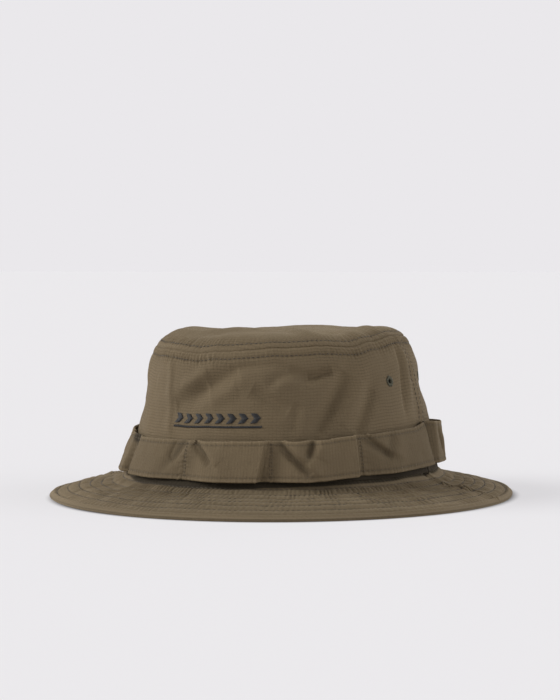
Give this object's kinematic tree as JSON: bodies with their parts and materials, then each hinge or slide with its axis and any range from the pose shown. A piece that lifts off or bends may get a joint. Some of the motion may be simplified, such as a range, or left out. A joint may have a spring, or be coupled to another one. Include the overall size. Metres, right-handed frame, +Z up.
{
  "type": "bucket hat",
  "caption": "Cloth bucket hat with an oval tip, a stitched sloping brim, a band of sewn loops round the crown, vent eyelets and a raised front motif.",
  "frame": {"origin": "on the surface the brim rests on, below the middle of the crown", "axes": "+Z up through the tip, -Y towards the front of the hat, +X towards the wearer's left"},
  "size_m": [0.2746, 0.2966, 0.1004],
  "materials": {
    "shell_cloth": "matte ripstop cotton blend, olive brown",
    "matching_thread": "spun sewing thread, slight sheen",
    "motif_thread": "satin embroidery thread, charcoal",
    "eyelet_thread": "buttonhole stitching, grey green",
    "sweatband_cloth": "plain woven cotton, folded",
    "seam_tape": "herringbone tape",
    "interlining": "stiff non-woven, hidden in the brim",
    "label_cloth": "woven satin, blank"
  },
  "bodies": {
    "root": {"crown_tip": "shell_cloth", "crown_front_panel": "shell_cloth", "crown_back_panel": "shell_cloth", "brim_top_front": "shell_cloth", "brim_top_back": "shell_cloth", "brim_interlining": "interlining", "brim_under_front": "shell_cloth", "brim_under_back": "shell_cloth", "band_front": "shell_cloth", "band_back": "shell_cloth", "band_tacks": "matching_thread", "sweatband": "sweatband_cloth", "tip_seam_tape": "seam_tape", "side_seam_tape_left": "seam_tape", "side_seam_tape_right": "seam_tape", "eyelet_left_front": "eyelet_thread", "eyelet_left_back": "eyelet_thread", "eyelet_right_front": "eyelet_thread", "eyelet_right_back": "eyelet_thread", "front_motif": "motif_thread", "size_label": "label_cloth", "brim_stitching": "matching_thread", "rim_stitching": "matching_thread", "tip_stitching": "matching_thread", "side_seam_stitching_left": "matching_thread", "side_seam_stitching_right": "matching_thread"}
  },
  "joints": []
}
